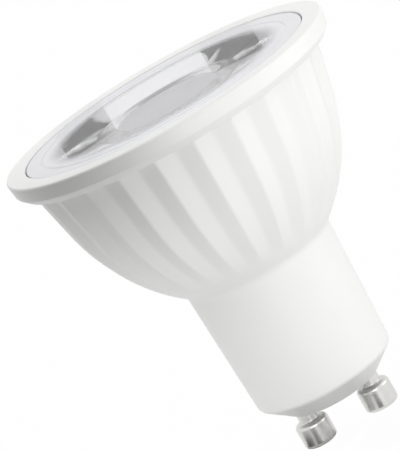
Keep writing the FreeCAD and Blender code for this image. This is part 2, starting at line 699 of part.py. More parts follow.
fuse_legs.setExpression("Length", bound("fuse_wire"))
doc.recompute()

PIECES = [
    housing, lens, cup, pad_body, led_board, led_substrate, led_phosphor, board_screws, driver_board,
    fuse, bridge, coil_core, coil_winding, output_capacitor, film, input_capacitor, chip, diode,
] + pins_and_leads

for item in doc.Objects:
    if {"Invalid", "Error"} & set(item.State):
        raise RuntimeError(f"{item.Name} failed: {item.State}")
for piece in PIECES:
    if piece.Shape.isNull() or not piece.Shape.isValid():
        raise RuntimeError(f"{piece.Label} has no valid shape")

os.makedirs("parts", exist_ok=True)
for piece in PIECES:
    piece.Shape.exportStep(f"parts/{piece.Label}.step")
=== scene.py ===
"""Looks of a twist-lock spotlight lamp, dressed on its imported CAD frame.

The lamp's axis is Z, the lens faces +Z and the contact pins point down. Sizes in the classes are in
millimetres, as in the part's source, and meshes are in metres. A "drop" is a distance below the
front face.
"""
import json
import logging
import math
from abc import ABC, abstractmethod
from dataclasses import dataclass
from enum import Enum
from typing import Any, ClassVar, Sequence, Union

import bpy
import numpy as np
from mathutils import Matrix, Vector


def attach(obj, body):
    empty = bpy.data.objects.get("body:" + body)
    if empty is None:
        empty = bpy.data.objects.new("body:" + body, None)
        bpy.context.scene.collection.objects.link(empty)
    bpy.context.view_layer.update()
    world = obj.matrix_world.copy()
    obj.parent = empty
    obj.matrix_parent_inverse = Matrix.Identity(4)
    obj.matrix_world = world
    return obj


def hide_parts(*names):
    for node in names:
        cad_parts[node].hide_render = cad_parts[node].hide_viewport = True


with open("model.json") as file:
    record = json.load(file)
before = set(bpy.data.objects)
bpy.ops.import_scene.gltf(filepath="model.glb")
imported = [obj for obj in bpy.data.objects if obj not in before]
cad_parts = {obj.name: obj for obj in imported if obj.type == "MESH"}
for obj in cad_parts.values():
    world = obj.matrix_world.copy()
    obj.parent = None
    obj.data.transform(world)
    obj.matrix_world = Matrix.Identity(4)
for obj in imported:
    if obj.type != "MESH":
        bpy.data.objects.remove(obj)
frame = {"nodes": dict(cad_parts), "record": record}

LOG = logging.getLogger("spotlight")
MM = 0.001
BODY = "root"
WHITE = (1.0, 1.0, 1.0, 1.0)
FULL_TURN = 2 * math.pi
# Where each pin stands along X, in millimetres.
PIN_PLACES = {"left": -5.0, "right": 5.0}
Colour = tuple[float, float, float]
Place = tuple[float, float]
Corner = tuple[float, float, float]
Shape = tuple[np.ndarray, np.ndarray, np.ndarray]


# Shader maths

class Sock:
    """A shader socket that can stand in a Python expression: each operator adds one Math node."""

    def __init__(self, graph: "Graph", socket: bpy.types.NodeSocket) -> None:
        """Keeps the socket and the graph that it belongs to."""
        self.graph = graph
        self.socket = socket

    def _math(self, operation: str, first: "Value", second: "Value") -> "Sock":
        """Adds one Math node for an operation on two values.

        Args:
            operation: Blender's name of the operation.
            first: the left-hand value.
            second: the right-hand value.

        Returns:
            The node's result.
        """
        return self.graph.out("ShaderNodeMath", {0: first, 1: second}, {"operation": operation})

    def __add__(self, other: "Value") -> "Sock":
        """This plus the other."""
        return self._math("ADD", self, other)

    def __radd__(self, other: "Value") -> "Sock":
        """The other plus this."""
        return self._math("ADD", other, self)

    def __sub__(self, other: "Value") -> "Sock":
        """This minus the other."""
        return self._math("SUBTRACT", self, other)

    def __rsub__(self, other: "Value") -> "Sock":
        """The other minus this."""
        return self._math("SUBTRACT", other, self)

    def __mul__(self, other: "Value") -> "Sock":
        """This times the other."""
        return self._math("MULTIPLY", self, other)

    def __rmul__(self, other: "Value") -> "Sock":
        """The other times this."""
        return self._math("MULTIPLY", other, self)


Value = Union[Sock, float, tuple]


class Graph:
    """The node tree of a material or a world, emptied and ready to be filled."""

    NOISE_ROUGHNESS: ClassVar[float] = 0.55
    NOISE_MIDDLE: ClassVar[float] = 0.5
    MIX_FIRST: ClassVar[int] = 6
    MIX_SECOND: ClassVar[int] = 7
    MIX_RESULT: ClassVar[int] = 2

    def __init__(self, tree: bpy.types.NodeTree) -> None:
        """Takes over a node tree and clears it."""
        self.tree = tree
        tree.nodes.clear()

    def node(self, kind: str, inputs: dict[Any, Value] | None = None,
             settings: dict[str, Any] | None = None) -> bpy.types.Node:
        """Adds a node.

        Args:
            kind: the node's type.
            inputs: values or links of its sockets, by name or number.
            settings: its settings, which are set before the inputs.

        Returns:
            The new node.
        """
        node = self.tree.nodes.new(kind)
        for name, value in (settings or {}).items():
            setattr(node, name, value)
        for key, value in (inputs or {}).items():
            if isinstance(value, Sock):
                self.tree.links.new(value.socket, node.inputs[key])
            else:
                node.inputs[key].default_value = value
        return node

    def out(self, kind: str, inputs: dict[Any, Value] | None = None,
            settings: dict[str, Any] | None = None, output: int | str = 0) -> Sock:
        """Adds a node and gives one of its outputs.

        Args:
            kind: the node's type.
            inputs: values or links of its sockets.
            settings: its settings.
            output: the output's name or number.

        Returns:
            The output, ready for an expression.
        """
        return Sock(self, self.node(kind, inputs, settings).outputs[output])

    def place(self) -> Sock:
        """The point on the piece, in the frame's metres."""
        return self.out("ShaderNodeTexCoord", output="Object")

    def noise(self, place: Sock, size: float, detail: float) -> Sock:
        """Smooth noise from 0 to 1.

        Args:
            place: the point it is read at.
            size: the size of its lumps, in millimetres.
            detail: how many finer layers it has.

        Returns:
            The noise.
        """
        inputs = {"Vector": place, "Scale": 1.0 / (size * MM), "Detail": detail,
                  "Roughness": self.NOISE_ROUGHNESS}
        return self.out("ShaderNodeTexNoise", inputs, {"noise_dimensions": "3D"})

    def off_axis(self, place: Sock) -> Sock:
        """A point's distance from the lamp's axis, in metres."""
        flat = self.out("ShaderNodeVectorMath", {0: place, 1: (1.0, 1.0, 0.0)},
                        {"operation": "MULTIPLY"})
        return self.out("ShaderNodeVectorMath", {0: flat}, {"operation": "LENGTH"}, "Value")

    def height(self, place: Sock) -> Sock:
        """A point's height along the lamp's axis, in metres."""
        return self.out("ShaderNodeSeparateXYZ", {0: place}, output="Z")

    def rise(self, value: Sock, start: float, end: float) -> Sock:
        """A smooth step from 0 at the start to 1 at the end.

        Args:
            value: what is compared, in metres.
            start: where the step begins, in millimetres.
            end: where it ends, in millimetres.

        Returns:
            The step.
        """
        inputs = {"Value": value, "From Min": start * MM, "From Max": end * MM}
        return self.out("ShaderNodeMapRange", inputs, {"interpolation_type": "SMOOTHSTEP"})

    def blend(self, share: Value, first: Colour, second: Colour) -> Sock:
        """A colour between two, by a share from 0 to 1."""
        inputs = {0: share, self.MIX_FIRST: (*first, 1.0), self.MIX_SECOND: (*second, 1.0)}
        return self.out("ShaderNodeMix", inputs, {"data_type": "RGBA"}, self.MIX_RESULT)

    def bump(self, height: Sock, depth: float, strength: float = 1.0) -> Sock:
        """A normal tilted by a height from 0 to 1.

        Args:
            height: the height.
            depth: what a height of 1 stands for, in millimetres.
            strength: how much of it shows.

        Returns:
            The normal.
        """
        inputs = {"Strength": strength, "Distance": depth * MM, "Height": height}
        return self.out("ShaderNodeBump", inputs)


# Finishes

class Pattern(Enum):
    """How a finish's fine relief runs over a piece."""

    GRAIN = "fine even grain in all directions"
    RINGS = "turning marks round the piece's own Z direction"
    TURNS = "turns of wire along the Y direction"
    WEAVE = "glass weave under a mask"


@dataclass(frozen=True)
class Finish(ABC):
    """A surface finish that makes its own material."""

    name: str

    @abstractmethod
    def shade(self, graph: Graph) -> Sock:
        """Builds the finish's nodes and gives the shader."""

    def material(self) -> bpy.types.Material:
        """Makes a new material with this finish.

        Returns:
            The material.
        """
        material = bpy.data.materials.new(self.name)
        material.use_nodes = True
        graph = Graph(material.node_tree)
        graph.node("ShaderNodeOutputMaterial", {"Surface": self.shade(graph)})
        return material


@dataclass(frozen=True)
class Solid(Finish):
    """An opaque finish: two near tones, a roughness that wanders, and a fine relief."""

    TONE_SHARE: ClassVar[float] = 0.6
    STREAK_SHARE: ClassVar[float] = 0.75
    STREAKS: ClassVar[dict[Pattern, Colour]] = {
        Pattern.RINGS: (0.05, 0.05, 1.0),
        Pattern.TURNS: (0.05, 1.0, 0.05),
    }
    WEAVE_WARP: ClassVar[float] = 0.6

    light: Colour
    deep: Colour
    roughness: float
    wander: float = 0.08
    metallic: float = 0.0
    tone_size: float = 9.0
    grain: float = 0.12
    depth: float = 0.004
    pattern: Pattern = Pattern.GRAIN
    coat: float = 0.0
    coat_roughness: float = 0.1
    ior: float = 1.5

    def relief(self, graph: Graph, place: Sock) -> Sock:
        """The height of the fine relief, from 0 to 1.

        Args:
            graph: the material's graph.
            place: the point on the piece.

        Returns:
            The height.
        """
        if self.pattern is Pattern.WEAVE:
            inputs = {"Vector": place, "Scale": 1.0 / (self.grain * MM),
                      "Distortion": self.WEAVE_WARP}
            wave = {"wave_type": "BANDS", "bands_direction": "DIAGONAL"}
            return graph.out("ShaderNodeTexWave", inputs, wave, "Fac")
        fine = graph.noise(place, self.grain, detail=3.0)
        if self.pattern is Pattern.GRAIN:
            return fine
        stretch = self.STREAKS[self.pattern]
        along = graph.out("ShaderNodeMapping", {"Vector": place, "Scale": stretch})
        streaks = graph.noise(along, self.grain, detail=1.0)
        return (1.0 - self.STREAK_SHARE) * fine + self.STREAK_SHARE * streaks

    def shade(self, graph: Graph) -> Sock:
        """Builds the nodes: tone, roughness and relief on one Principled shader.

        Args:
            graph: the material's graph.

        Returns:
            The shader.
        """
        place = graph.place()
        tone = graph.noise(place, self.tone_size, detail=3.0)
        relief = self.relief(graph, place)
        uneven = self.TONE_SHARE * tone + (1.0 - self.TONE_SHARE) * relief - graph.NOISE_MIDDLE
        return graph.out("ShaderNodeBsdfPrincipled", {
            "Base Color": graph.blend(tone, self.deep, self.light),
            "Roughness": self.roughness + self.wander * uneven,
            "Metallic": self.metallic,
            "IOR": self.ior,
            "Coat Weight": self.coat,
            "Coat Roughness": self.coat_roughness,
            "Normal": graph.bump(relief, self.depth),
        })


@dataclass(frozen=True)
class Clear(Finish):
    """A clear polished moulding with a trace of haze, whose front edge and domed foot are frosted.

    On the front face the frost grows from one radius to another. The dome is frosted inside its
    radius and below its top, with soft edges.
    """

    POLISH_LOW: ClassVar[float] = 0.6
    POLISH_SPAN: ClassVar[float] = 0.8
    FROST_LOW: ClassVar[float] = 0.95
    FROST_SPAN: ClassVar[float] = 0.1

    tint: Colour
    frost_light: Colour
    frost_deep: Colour
    ior: float = 1.49
    roughness: float = 0.012
    flow_size: float = 7.0
    ripple_size: float = 3.0
    ripple_depth: float = 0.0015
    ripple_strength: float = 0.3
    film_roughness: float = 0.3
    film_wander: float = 0.1
    film_grain: float = 0.15
    film_depth: float = 0.002
    film_strength: float = 0.5
    haze: float = 0.06
    frost: float = 0.78
    frost_from: float = 15.0
    frost_to: float = 18.9
    face_from: float = 47.0
    face_to: float = 47.6
    dome_frost: float = 0.8
    dome_rad: float = 8.0
    dome_edge: float = 0.4
    dome_top: float = 45.0
    dome_fade: float = 1.0

    def covered(self, graph: Graph, place: Sock, flow: Sock) -> Sock:
        """The share of the surface that the matt film covers.

        Args:
            graph: the material's graph.
            place: the point on the piece.
            flow: a slow noise that makes the frost uneven.

        Returns:
            The share, from 0 to 1.
        """
        away = graph.off_axis(place)
        height = graph.height(place)
        face = graph.rise(height, self.face_from, self.face_to)
        edge = graph.rise(away, self.frost_from, self.frost_to) * face
        below = 1.0 - graph.rise(height, self.dome_top, self.dome_top + self.dome_fade)
        dome = below * (1.0 - graph.rise(away, self.dome_rad - self.dome_edge, self.dome_rad))
        uneven = self.FROST_LOW + self.FROST_SPAN * flow
        return self.haze + (self.frost * edge + self.dome_frost * dome) * uneven

    def shade(self, graph: Graph) -> Sock:
        """Builds the nodes: a refracting body, and a matt film over its edge and dome.

        Args:
            graph: the material's graph.

        Returns:
            The shader.
        """
        place = graph.place()
        flow = graph.noise(place, self.flow_size, detail=2.0)
        ripple = graph.noise(place, self.ripple_size, detail=1.0)
        fine = graph.noise(place, self.film_grain, detail=2.0)
        body = graph.out("ShaderNodeBsdfPrincipled", {
            "Base Color": graph.blend(flow, self.tint, WHITE[:3]),
            "Roughness": self.roughness * (self.POLISH_LOW + self.POLISH_SPAN * flow),
            "Transmission Weight": 1.0,
            "IOR": self.ior,
            "Normal": graph.bump(ripple, self.ripple_depth, self.ripple_strength),
        })
        film = graph.out("ShaderNodeBsdfPrincipled", {
            "Base Color": graph.blend(flow, self.frost_deep, self.frost_light),
            "Roughness": self.film_roughness + self.film_wander * fine,
            "IOR": self.ior,
            "Normal": graph.bump(fine, self.film_depth, self.film_strength),
        })
        share = self.covered(graph, place, flow)
        return graph.out("ShaderNodeMixShader", {0: share, 1: body, 2: film})


@dataclass(frozen=True)
class Backdrop(Finish):
    """A pale floor that looks nearly white to the camera, in gloss and through glass.

    It keeps a part of the object's shadow, and lights the object as a matt floor does.
    """

    RAYS: ClassVar[tuple[str, ...]] = ("Is Camera Ray", "Is Glossy Ray", "Is Transmission Ray")

    tone: float = 0.66
    glow: float = 0.985

    def shade(self, graph: Graph) -> Sock:
        """Builds the nodes: a matt tone, and plain white for the rays that look at it.

        Args:
            graph: the material's graph.

        Returns:
            The shader.
        """
        path = graph.node("ShaderNodeLightPath")
        camera, gloss, glass = (Sock(graph, path.outputs[name]) for name in self.RAYS)
        matt = graph.out("ShaderNodeBsdfDiffuse", {"Color": (self.tone, self.tone, self.tone, 1.0)})
        white = graph.out("ShaderNodeEmission", {"Color": WHITE, "Strength": 1.0})
        share = self.glow * (camera + gloss + glass)
        return graph.out("ShaderNodeMixShader", {0: share, 1: matt, 2: white})


class Finishes:
    """Every finish of the lamp and its stage. Those of the inner pieces go by material slot."""

    HOUSING = Solid("white_moulding", (0.90, 0.90, 0.888), (0.885, 0.886, 0.875), 0.42, 0.06,
                    tone_size=14.0, grain=0.16, depth=0.0035)
    LENS = Clear("clear_moulding", (0.975, 0.975, 0.99), (0.9, 0.9, 0.93), (0.87, 0.87, 0.905))
    MIRROR = Solid("spun_mirror", (0.93, 0.93, 0.94), (0.9, 0.9, 0.91), 0.05, 0.03,
                   metallic=1.0, grain=0.2, depth=0.0003, pattern=Pattern.RINGS)
    PIN = Solid("nickel_plate", (0.74, 0.735, 0.72), (0.66, 0.655, 0.64), 0.33, 0.14,
                metallic=1.0, tone_size=1.6, grain=0.09, depth=0.004, pattern=Pattern.RINGS)
    FLOOR = Backdrop("pale_floor")
    DARK_CARD = Solid("dark_felt", (0.03, 0.03, 0.03), (0.02, 0.02, 0.02), 0.9)
    GREY_CARD = Solid("grey_felt", (0.8, 0.8, 0.78), (0.5, 0.5, 0.49), 0.9, tone_size=4.0)
    PALE_CARD = Solid("pale_felt", (0.86, 0.86, 0.85), (0.82, 0.82, 0.81), 0.9)
    INNER = {
        "pad_grey": Solid("soft_pad", (0.62, 0.64, 0.68), (0.54, 0.56, 0.6), 0.75),
        "led_board_white": Solid("white_mask", (0.9, 0.9, 0.88), (0.86, 0.86, 0.84), 0.35,
                                 coat=0.4),
        "led_base_white": Solid("fired_white", (0.88, 0.88, 0.86), (0.83, 0.83, 0.8), 0.4),
        "phosphor_yellow": Solid("phosphor", (0.93, 0.8, 0.28), (0.86, 0.7, 0.18), 0.55,
                                 tone_size=1.0, grain=0.08),
        "screw_steel": Solid("zinc_plate", (0.66, 0.66, 0.67), (0.56, 0.56, 0.58), 0.32,
                             metallic=1.0, tone_size=1.5, pattern=Pattern.RINGS),
        "board_green": Solid("green_mask", (0.11, 0.36, 0.19), (0.07, 0.27, 0.13), 0.34,
                             coat=0.5, grain=0.5, pattern=Pattern.WEAVE),
        "case_black": Solid("black_epoxy", (0.05, 0.05, 0.055), (0.03, 0.03, 0.034), 0.6,
                            grain=0.06),
        "fuse_body": Solid("dipped_coat", (0.38, 0.55, 0.45), (0.3, 0.46, 0.37), 0.38, coat=0.3),
        "core_ferrite": Solid("sintered_core", (0.14, 0.135, 0.13), (0.09, 0.085, 0.08), 0.68,
                              tone_size=2.0),
        "winding_copper": Solid("varnished_wire", (0.68, 0.34, 0.17), (0.5, 0.22, 0.09), 0.3,
                                metallic=0.8, grain=0.35, depth=0.05, pattern=Pattern.TURNS),
        "can_sleeve": Solid("shrunk_sleeve", (0.085, 0.095, 0.14), (0.06, 0.065, 0.1), 0.3,
                            coat=0.3),
        "film_yellow": Solid("moulded_box", (0.85, 0.69, 0.19), (0.78, 0.61, 0.13), 0.5),
        "lead_red": Solid("red_insulation", (0.66, 0.08, 0.07), (0.56, 0.05, 0.045), 0.4),
        "lead_white": Solid("white_insulation", (0.87, 0.87, 0.85), (0.8, 0.8, 0.78), 0.4),
    }


# Profiles and surfaces

# The largest angle between neighbours on a rounded corner, in radians.
CORNER_STEP = 0.2
# How far from a rounded corner a point holds the flat beside it, in millimetres.
CORNER_HOLD = 0.05
# How many rows at the end of a curve give way to the rounded corner there.
SPARE_ROWS = 3


def unit(vector: np.ndarray) -> np.ndarray:
    """A vector's direction, with length 1."""
    return vector / np.linalg.norm(vector)


def bearing(point: np.ndarray, about: np.ndarray) -> float:
    """The angle at which a point lies about another, in radians."""
    return math.atan2(point[1] - about[1], point[0] - about[0])


def arc(centre: Sequence[float], radius: float, start: float, end: float,
        step: float) -> np.ndarray:
    """Points on a circle: centre plus radius times (cosine, sine) of evenly spread angles.

    Args:
        centre: the circle's centre.
        radius: its radius.
        start: the first angle, in radians.
        end: the last angle, in radians.
        step: the largest angle between neighbours.

    Returns:
        The points, one row each.
    """
    count = max(2, math.ceil(abs(end - start) / step) + 1)
    angle = np.linspace(start, end, count)
    across = centre[0] + radius * np.cos(angle)
    up = centre[1] + radius * np.sin(angle)
    return np.stack([across, up], axis=1)


def rounded(corners: Sequence[Corner]) -> np.ndarray:
    """A line through corners, with each corner between its ends replaced by the arc that touches
    both its sides. A point close to each arc's end holds the flat beside it flat.

    Args:
        corners: (across, up, radius) of each corner. The two ends' radius isn't used.

    Returns:
        The points, one row each.
    """
    spots = np.array([corner[:2] for corner in corners], float)
    pieces = [spots[:1]]
    for index in range(1, len(corners) - 1):
        spot = spots[index]
        radius = corners[index][2]
        back = unit(spots[index - 1] - spot)
        on = unit(spots[index + 1] - spot)
        half = math.acos(np.clip(back @ on, -1, 1)) / 2
        reach = radius / math.tan(half)
        middle = spot + unit(back + on) * radius / math.sin(half)
        begin = bearing(spot + back * reach, middle)
        turn = math.copysign(math.pi - 2 * half, on[0] * back[1] - on[1] * back[0])
        pieces.append((spot + back * (reach + CORNER_HOLD))[None])
        pieces.append(arc(middle, radius, begin, begin + turn, CORNER_STEP))
        pieces.append((spot + on * (reach + CORNER_HOLD))[None])
    pieces.append(spots[-1:])
    return np.concatenate(pieces)


def turned(radii: np.ndarray, heights: np.ndarray, angles: np.ndarray,
           across: float = 0.0) -> Shape:
    """A closed turned surface: row i, column j lies at radius[i, j], angle[j] and height[i]. Its
    first and last rows are points on the axis, and fans of triangles close them.

    Args:
        radii: radius of each row and column, without the two poles.
        heights: height of each row, poles included.
        angles: angle of each column, in radians.
        across: how far the axis stands off along X.

    Returns:
        Points in metres, quads, and triangles.
    """
    rows, columns = radii.shape
    level = np.broadcast_to(heights[1:-1, None], radii.shape)
    ring = np.stack([across + radii * np.cos(angles), radii * np.sin(angles), level], axis=-1)
    poles = np.array([[across, 0.0, heights[0]], [across, 0.0, heights[-1]]])
    points = np.concatenate([ring.reshape(-1, 3), poles]) * MM
    here = np.arange(rows * columns).reshape(rows, columns)
    beside = np.roll(here, -1, axis=1)
    quads = np.stack([here[:-1], beside[:-1], beside[1:], here[1:]], axis=-1).reshape(-1, 4)
    first, last = rows * columns, rows * columns + 1
    start = np.stack([np.full(columns, first), beside[0], here[0]], axis=-1)
    end = np.stack([np.full(columns, last), here[-1], beside[-1]], axis=-1)
    return points, quads, np.concatenate([start, end])


def lathe(outline: np.ndarray, columns: int, across: float = 0.0) -> Shape:
    """A round surface: the outline at evenly spread angles.

    Args:
        outline: (radius, height) points from the axis to the axis.
        columns: how many angles.
        across: how far the axis stands off along X.

    Returns:
        Points in metres, quads, and triangles.
    """
    angles = np.arange(columns) / columns * FULL_TURN
    return turned(np.repeat(outline[1:-1, :1], columns, axis=1), outline[:, 1], angles, across)


def make_piece(name: str, node: str, shape: Shape, finish: Finish) -> None:
    """Puts a new mesh piece into the scene, which rides on the lamp and stands for a CAD node.

    Args:
        name: the piece's name.
        node: the CAD node that it stands for.
        shape: points, quads and triangles.
        finish: the finish that it wears.
    """
    points, quads, triangles = shape
    mesh = bpy.data.meshes.new(name)
    mesh.from_pydata(points.tolist(), [], quads.tolist() + triangles.tolist())
    mesh.validate()
    mesh.shade_smooth()
    mesh.materials.append(finish.material())
    piece = bpy.data.objects.new(name, mesh)
    bpy.context.scene.collection.objects.link(piece)
    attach(piece, BODY)
    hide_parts(node)
    LOG.info("%s: %d points, stands for %s", name, len(points), node)


# Sub-assemblies

@dataclass
class Housing:
    """The fluted moulding: rim, bowl, neck and base, with its hollow inside.

    Sizes that end in "edge" are the radii of its rounded corners.
    """

    height: float = 48.95
    rim_dia: float = 50.0
    rim_height: float = 3.2
    rim_draft: float = 0.3
    rim_under: float = 1.0
    rim_inset: float = 0.01
    rim_edge: float = 0.35
    rim_low_edge: float = 0.25
    rim_side_edge: float = 0.4
    bowl_dia: float = 45.2
    shoulder_dia: float = 41.9
    shoulder_drop: float = 11.0
    bowl_arc: float = 27.3
    neck_top_dia: float = 22.6
    neck_low_dia: float = 21.1
    neck_fillet: float = 1.6
    bevel_height: float = 2.9
    bevel_edge: float = 0.9
    seat_dia: float = 14.0
    seat_edge: float = 0.4
    wall: float = 1.4
    floor_thick: float = 2.0
    floor_dia: float = 14.8
    floor_edge: float = 0.3
    bore_edge: float = 0.5
    ledge_drop: float = 16.0
    ledge_width: float = 1.7
    ledge_edge: float = 0.2
    lens_dia: float = 43.9
    lens_seat: float = 46.8
    lens_edge: float = 0.1
    mouth_edge: float = 0.2
    flute_count: int = 24
    flute_depth: float = 0.9
    flute_end: float = 24.6
    flute_fade: float = 3.0
    flute_phase: float = 6.1
    ridge_round: float = 0.1
    valley_round: float = 0.14
    columns_per_flute: int = 22
    crowding: float = 0.55
    straight_rows: int = 14
    bowl_step: float = 0.018
    fillet_step: float = 0.09

    def bowl_centre(self) -> np.ndarray:
        """The centre of the bowl's curve, which is tangent to the straight part at the shoulder.

        Returns:
            The centre's (radius, height).
        """
        lean = (self.bowl_dia - self.shoulder_dia) / 2
        fall = self.shoulder_drop - self.rim_height
        run = math.hypot(lean, fall)
        return np.array([self.shoulder_dia / 2 - self.bowl_arc * fall / run,
                         self.height - self.shoulder_drop + self.bowl_arc * lean / run])

    def neck_top(self, centre: np.ndarray) -> np.ndarray:
        """Where the neck's side would meet the bowl's curve.

        Args:
            centre: the centre of that curve.

        Returns:
            The place's (radius, height).
        """
        across = self.neck_top_dia / 2
        drop = self.height - centre[1] + math.sqrt(self.bowl_arc ** 2 - (across - centre[0]) ** 2)
        return np.array([across, self.height - drop])

    def outside(self, centre: np.ndarray, top: np.ndarray) -> tuple[np.ndarray, np.ndarray]:
        """The outside from the seat's centre to the rim's underside. The neck runs into the bowl
        through an arc that touches both.

        Args:
            centre: the centre of the bowl's curve.
            top: where the neck's side would meet that curve.

        Returns:
            The (radius, height) points of the plain part, and those of the fluted bowl.
        """
        low = np.array([self.neck_low_dia / 2, self.bevel_height])
        rise = unit(top - low)
        out = np.array([rise[1], -rise[0]])
        far = self.bowl_arc + self.neck_fillet
        offset = low + out * self.neck_fillet - centre
        reach = -offset @ rise - math.sqrt((offset @ rise) ** 2 - offset @ offset + far ** 2)
        hollow = low + out * self.neck_fillet + rise * reach
        leave = low + rise * reach
        join = centre + (hollow - centre) * self.bowl_arc / far
        base = rounded([
            (0.0, 0.0, 0.0),
            (self.seat_dia / 2, 0.0, self.seat_edge),
            (*low, self.bevel_edge),
            (*leave, 0.0),
        ])
        begin = bearing(leave, hollow) % FULL_TURN
        end = bearing(join, hollow) % FULL_TURN
        fillet = arc(hollow, self.neck_fillet, begin, end, self.fillet_step)
        shoulder = np.array([self.shoulder_dia / 2, self.height - self.shoulder_drop])
        crease = np.array([self.bowl_dia / 2, self.height - self.rim_height])
        bowl = arc(centre, self.bowl_arc, bearing(join, centre), bearing(shoulder, centre),
                   self.bowl_step)
        straight = np.linspace(shoulder, crease, self.straight_rows)
        return np.concatenate([base, fillet[1:]]), np.concatenate([bowl[1:], straight[1:]])

    def rim_and_inside(self, centre: np.ndarray, top: np.ndarray) -> np.ndarray:
        """The line over the rim, through the lens's and the cup's recesses, and down the bore.

        Args:
            centre: the centre of the bowl's curve.
            top: where the neck's side would meet that curve.

        Returns:
            The line's (radius, height) points, from the rim's underside to the floor's middle.
        """
        under = self.height - self.rim_height
        side = self.rim_dia / 2 - self.rim_draft
        ledge = self.height - self.ledge_drop
        bowl_at_ledge = centre[0] + math.sqrt(self.bowl_arc ** 2 - (ledge - centre[1]) ** 2)
        cup_top = self.bowl_dia / 2 - self.flute_depth - self.wall
        cup_low = bowl_at_ledge - self.flute_depth / 2 - self.wall
        bore = self.neck_low_dia / 2 - self.wall
        return rounded([
            (self.bowl_dia / 2, under, 0.0),
            (side - self.rim_under, under, self.rim_low_edge),
            (side, under + self.rim_under, self.rim_side_edge),
            (self.rim_dia / 2 - self.rim_inset, self.height, self.rim_edge),
            (self.lens_dia / 2, self.height, self.mouth_edge),
            (self.lens_dia / 2, self.lens_seat, self.lens_edge),
            (cup_top, self.lens_seat, self.ledge_edge),
            (cup_low, ledge, self.ledge_edge),
            (cup_low - self.ledge_width, ledge, self.ledge_edge),
            (bore, top[1], self.bore_edge),
            (bore, self.bevel_height + self.floor_thick, self.bore_edge),
            (self.floor_dia / 2, self.floor_thick, self.floor_edge),
            (0.0, self.floor_thick, 0.0),
        ])[1:]

    def outline(self) -> tuple[np.ndarray, np.ndarray]:
        """The wall's closed outline from the seat's centre, over the outside and the rim, and back
        down the inside. The flutes' depth follows the bowl's radius, times the square root of a
        fade at their lower end.

        Returns:
            The outline's (radius, height) points, and for each the share of the flutes' depth.
        """
        centre = self.bowl_centre()
        top = self.neck_top(centre)
        plain, fluted = self.outside(centre, top)
        rest = self.rim_and_inside(centre, top)
        drop = self.height - fluted[:, 1]
        fade = np.clip((self.flute_end - drop) / self.flute_fade, 0, 1)
        share = fluted[:, 0] / (self.bowl_dia / 2) * np.sqrt(fade)
        shares = np.concatenate([np.zeros(len(plain)), share, np.zeros(len(rest))])
        return np.concatenate([plain, fluted, rest]), shares

    def flutes(self) -> tuple[np.ndarray, np.ndarray]:
        """Columns round the bowl, drawn together at the ridges and valleys, and how far each lies
        from a valley to a ridge. A ridge and a valley are rounded by a parabola that meets the
        flat wall.

        Returns:
            The columns' angles in radians, and their places from 0 in a valley to 1 on a ridge.
        """
        count = self.columns_per_flute
        even = np.tile(np.arange(count) / count * 2 - 1, self.flute_count)
        place = even - self.crowding * np.sin(FULL_TURN * even) / FULL_TURN
        flute = np.repeat(np.arange(self.flute_count), count)
        pitch = FULL_TURN / self.flute_count
        angles = math.radians(self.flute_phase) + pitch * (flute + place / 2)
        off = np.abs(place)
        valley, ridge = self.valley_round, self.ridge_round
        low = (off ** 2 + valley ** 2) / (2 * valley)
        high = 1 - ((1 - off) ** 2 + ridge ** 2) / (2 * ridge)
        return angles, np.where(off < valley, low, np.where(off > 1 - ridge, high, off))

    def build(self) -> None:
        """Carries the outline round the axis. On the bowl, the radius at an angle a runs on a
        straight line from the valley to the ridge, which are half a pitch apart:
        valley * ridge * sin(half) / (valley * sin(a) + ridge * sin(half - a)).
        """
        outline, shares = self.outline()
        angles, place = self.flutes()
        half = math.pi / self.flute_count
        turn = place * half
        cut = shares[1:-1, None]
        ridge = outline[1:-1, :1]
        valley = ridge - self.flute_depth * cut
        across = valley * np.sin(turn) + ridge * np.sin(half - turn)
        wall = valley * ridge * math.sin(half) / across
        shape = turned(np.where(cut > 0, wall, ridge), outline[:, 1], angles)
        make_piece("housing_moulding", "housing", shape, Finishes.HOUSING)


